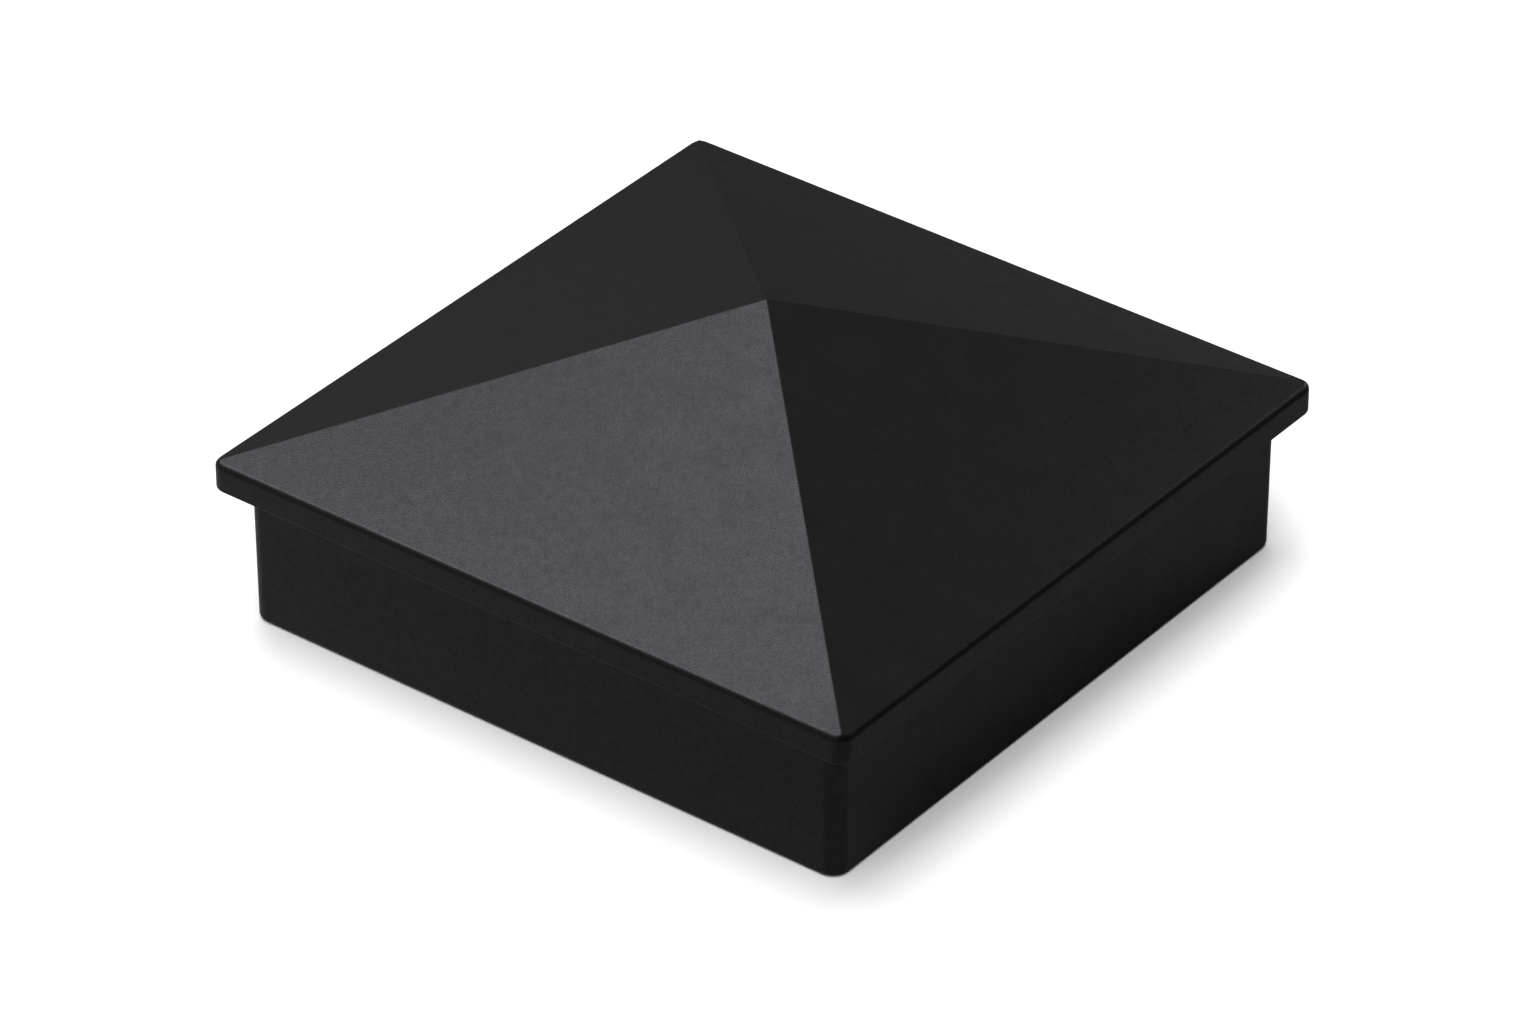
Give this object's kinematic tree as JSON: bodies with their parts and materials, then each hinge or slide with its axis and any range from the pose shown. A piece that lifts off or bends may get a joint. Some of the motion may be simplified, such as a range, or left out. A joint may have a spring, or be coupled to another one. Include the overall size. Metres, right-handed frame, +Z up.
{
  "type": "post cap",
  "caption": "Low pyramid-topped cast aluminium cap with an overhanging brim and a hollow square skirt that slips over the top of a square post to shed rain and finish it.",
  "frame": {"origin": "centre of the skirt's foot, in the plane that the cap rests on", "axes": "+Z up along the post's axis, from the skirt's foot to the roof's peak; X and Y at right angles to the skirt's sides"},
  "size_m": [0.1018, 0.1018, 0.0433],
  "materials": {
    "powder_coat": "satin"
  },
  "bodies": {
    "root": {"post_cap": "powder_coat"}
  },
  "joints": []
}
